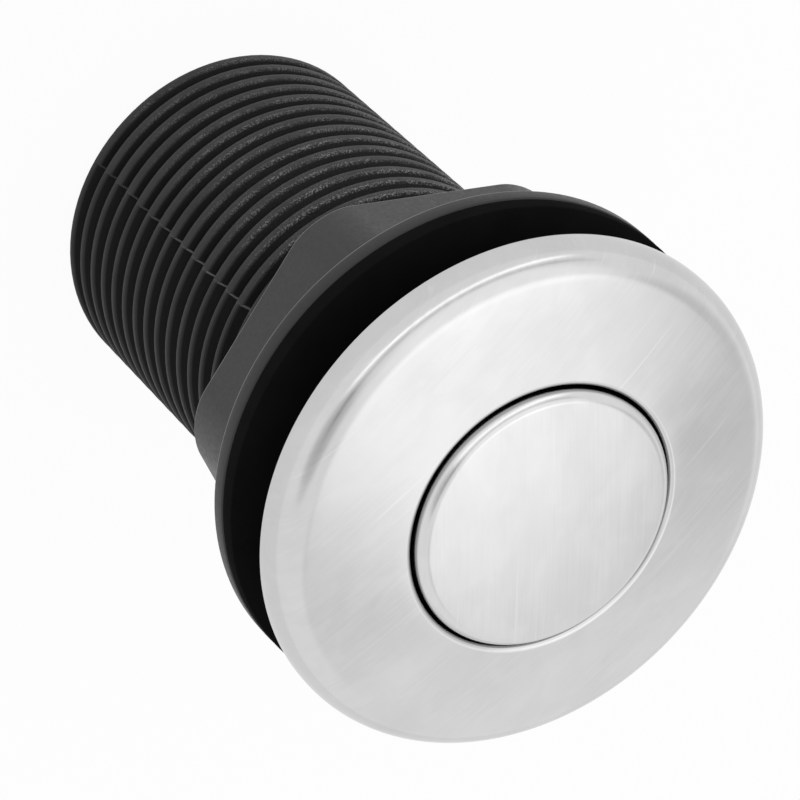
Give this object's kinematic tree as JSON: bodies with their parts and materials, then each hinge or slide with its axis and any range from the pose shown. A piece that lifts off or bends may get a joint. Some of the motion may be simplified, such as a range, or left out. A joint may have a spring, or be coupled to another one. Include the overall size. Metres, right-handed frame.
{
  "type": "spa air switch",
  "caption": "Round stainless push button in a domed bezel on a threaded black plastic barrel, with a flanged hexagonal locknut, a rubber washer and a barbed air nipple.",
  "frame": {"origin": "centre of the deck hole, in the plane of the deck's surface under the gasket", "axes": "+Z out of the deck along the button's axis, +X through one corner of the locknut's hexagon, +Y completes a right-handed frame"},
  "size_m": [0.048, 0.048, 0.0626],
  "materials": {
    "brushed_stainless": "brushed",
    "spring_steel": "oiled",
    "black_plastic": "fine grain",
    "grey_plastic": "satin",
    "white_plastic": "smooth",
    "black_rubber": "matt"
  },
  "bodies": {
    "barrel": {"threaded_barrel": "black_plastic", "bezel_cover": "brushed_stainless", "deck_gasket": "black_rubber", "bellows": "black_rubber", "bellows_collar": "brushed_stainless", "hose_plug": "black_plastic", "plug_seal": "black_rubber", "retaining_ring": "spring_steel"},
    "button": {"button_cap": "brushed_stainless", "button_plunger": "white_plastic", "plunger_seal": "black_rubber"},
    "washer": {"clamp_washer": "black_rubber"},
    "nut": {"locknut": "grey_plastic"}
  },
  "joints": [
    {"name": "button_press", "type": "slide", "parent": "barrel", "child": "button", "axis": [0, 0, 1], "range_m": [-0.004, 0], "stiffness_N_per_m": 1500, "springref_m": 0.002, "deforming": ["bellows"]},
    {"name": "nut_travel", "type": "slide", "parent": "barrel", "child": "washer", "axis": [0, 0, 1], "range_m": [-0.03451, 0.0052]},
    {"name": "nut_turn", "type": "hinge", "parent": "washer", "child": "nut", "pos_m": [0, 0, -0.0132], "axis": [0, 0, 1], "range_deg": [-5379, 809]}
  ],
  "couplings": [
    {"joint": "nut_travel", "follows": "nut_turn", "m_per_rad": 0.00036749}
  ]
}
